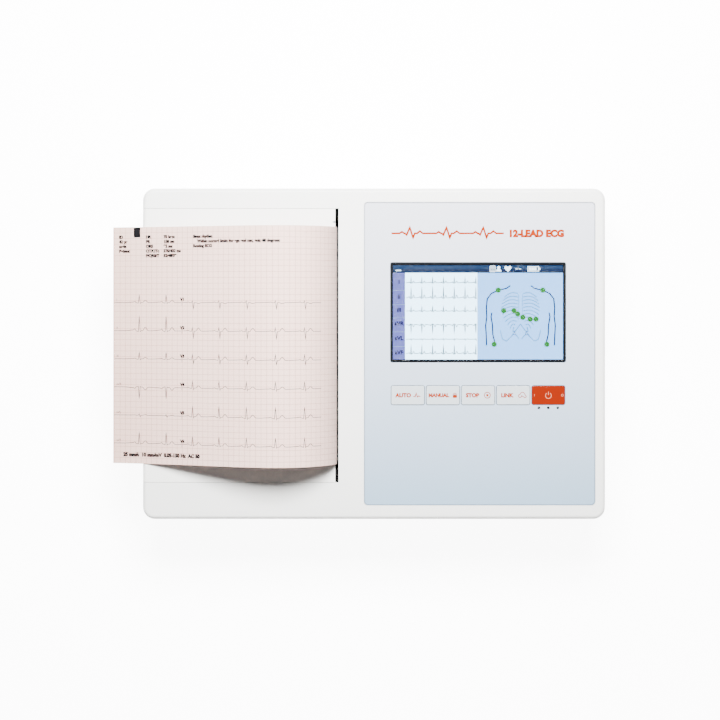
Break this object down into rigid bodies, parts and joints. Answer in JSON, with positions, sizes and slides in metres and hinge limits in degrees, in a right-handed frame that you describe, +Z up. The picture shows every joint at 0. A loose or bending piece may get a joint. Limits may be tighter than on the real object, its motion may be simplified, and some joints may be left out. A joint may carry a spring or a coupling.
{
  "type": "ecg machine",
  "caption": "Desktop electrocardiograph: white case, sliding writer door over a thermal chart printer, recessed control panel with colour display and keys, chart strip curling out.",
  "frame": {"origin": "centre of the bounding box (machine with its printed strip), on the table", "axes": "+X to the right along the long side, +Y to the rear, +Z up; the operator sits at -Y"},
  "size_m": [0.438, 0.294, 0.1283],
  "materials": {
    "case_white": "fine moulded texture",
    "panel_blue_grey": "glossy film over moulded plastic",
    "key_grey": "glossy, outlined",
    "key_orange": "satin",
    "display_glass": "polished",
    "light_pipe": "clear, smoky",
    "dark_plastic": "moulded",
    "grey_plastic": "moulded",
    "rubber": "matt",
    "steel": "zinc plated",
    "aluminium": "extruded",
    "brass": "turned",
    "acetal": "moulded acetal",
    "ceramic": "glazed",
    "circuit_board": "solder mask",
    "battery_wrap": "shrink film",
    "chart_paper": "coated, printed pink grid"
  },
  "bodies": {
    "case": {"battery_cover": "case_white", "battery_cover_screw": "steel", "battery_pack": "battery_wrap", "case_screw_1": "steel", "case_screw_2": "steel", "case_screw_3": "steel", "case_screw_4": "steel", "control_panel": "panel_blue_grey", "display_glass": "display_glass", "door_rail_front": "acetal", "door_rail_rear": "acetal", "ecg_module": "circuit_board", "foot_1": "rubber", "foot_2": "rubber", "foot_3": "rubber", "foot_4": "rubber", "ground_stud": "brass", "head_pivot": "steel", "head_spring_front": "steel", "head_spring_rear": "steel", "indicator_battery": "light_pipe", "indicator_charge": "light_pipe", "indicator_mains": "light_pipe", "keypad_board": "circuit_board", "lan_jack": "steel", "lcd_bracket": "aluminium", "lcd_module": "grey_plastic", "lower_case": "case_white", "main_board": "circuit_board", "mark_sensor": "dark_plastic", "paper_stack": "chart_paper", "paper_tray": "grey_plastic", "patient_connector": "steel", "power_inlet": "dark_plastic", "power_supply": "circuit_board", "printer_chassis": "steel", "stepper_motor": "steel", "tear_bar": "steel", "upper_case": "case_white", "usb_jack": "steel"},
    "door": {"writer_door": "case_white", "chart_paper": "chart_paper", "platen_bush_front": "brass", "platen_bush_rear": "brass", "latch_pin": "steel", "latch_spring": "steel"},
    "latch": {"latch_paddle": "case_white"},
    "platen": {"platen_shaft": "steel", "platen_sleeve": "rubber", "platen_gear": "acetal"},
    "idler": {"idler_gear": "acetal"},
    "motor_rotor": {"motor_shaft": "steel", "motor_pinion": "acetal"},
    "head": {"print_head": "ceramic", "head_bracket": "aluminium"},
    "auto_key": {"key_auto": "key_grey"},
    "manual_key": {"key_manual": "key_grey"},
    "stop_key": {"key_stop": "key_grey"},
    "link_key": {"key_link": "key_grey"},
    "power_key": {"key_power": "key_orange"}
  },
  "joints": [
    {"name": "door_slide", "type": "slide", "parent": "case", "child": "door", "axis": [-1, 0, 0], "range_m": [0, 0.125]},
    {"name": "latch_press", "type": "hinge", "parent": "door", "child": "latch", "pos_m": [-0.1855, 0.0075, 0.0752], "axis": [0, -1, 0], "range_deg": [0, 12], "stiffness_Nm_per_rad": 0.1, "springref_deg": -11.46, "deforming": ["latch_spring"]},
    {"name": "platen_spin", "type": "hinge", "parent": "door", "child": "platen", "pos_m": [-0.02813, 0.0075, 0.076], "axis": [0, 1, 0], "continuous": true},
    {"name": "idler_spin", "type": "hinge", "parent": "case", "child": "idler", "pos_m": [-0.0073, -0.1063, 0.07233], "axis": [0, 1, 0], "continuous": true},
    {"name": "motor_spin", "type": "hinge", "parent": "case", "child": "motor_rotor", "pos_m": [0.00437, -0.1063, 0.05842], "axis": [0, 1, 0], "continuous": true},
    {"name": "head_tilt", "type": "hinge", "parent": "case", "child": "head", "pos_m": [-0.01468, 0.0075, 0.063], "axis": [0, 1, 0], "range_deg": [0, 3], "stiffness_Nm_per_rad": 5, "springref_deg": -2.86, "deforming": ["head_spring_front", "head_spring_rear"]},
    {"name": "key_auto_press", "type": "slide", "parent": "case", "child": "auto_key", "axis": [0, 0, -1], "range_m": [0, 0.0008], "stiffness_N_per_m": 1200, "springref_m": -0.0005},
    {"name": "key_manual_press", "type": "slide", "parent": "case", "child": "manual_key", "axis": [0, 0, -1], "range_m": [0, 0.0008], "stiffness_N_per_m": 1200, "springref_m": -0.0005},
    {"name": "key_stop_press", "type": "slide", "parent": "case", "child": "stop_key", "axis": [0, 0, -1], "range_m": [0, 0.0008], "stiffness_N_per_m": 1200, "springref_m": -0.0005},
    {"name": "key_link_press", "type": "slide", "parent": "case", "child": "link_key", "axis": [0, 0, -1], "range_m": [0, 0.0008], "stiffness_N_per_m": 1200, "springref_m": -0.0005},
    {"name": "key_power_press", "type": "slide", "parent": "case", "child": "power_key", "axis": [0, 0, -1], "range_m": [0, 0.0008], "stiffness_N_per_m": 1200, "springref_m": -0.0005}
  ],
  "couplings": [
    {"joint": "idler_spin", "follows": "platen_spin", "ratio": -0.75},
    {"joint": "motor_spin", "follows": "platen_spin", "ratio": 1.5}
  ]
}
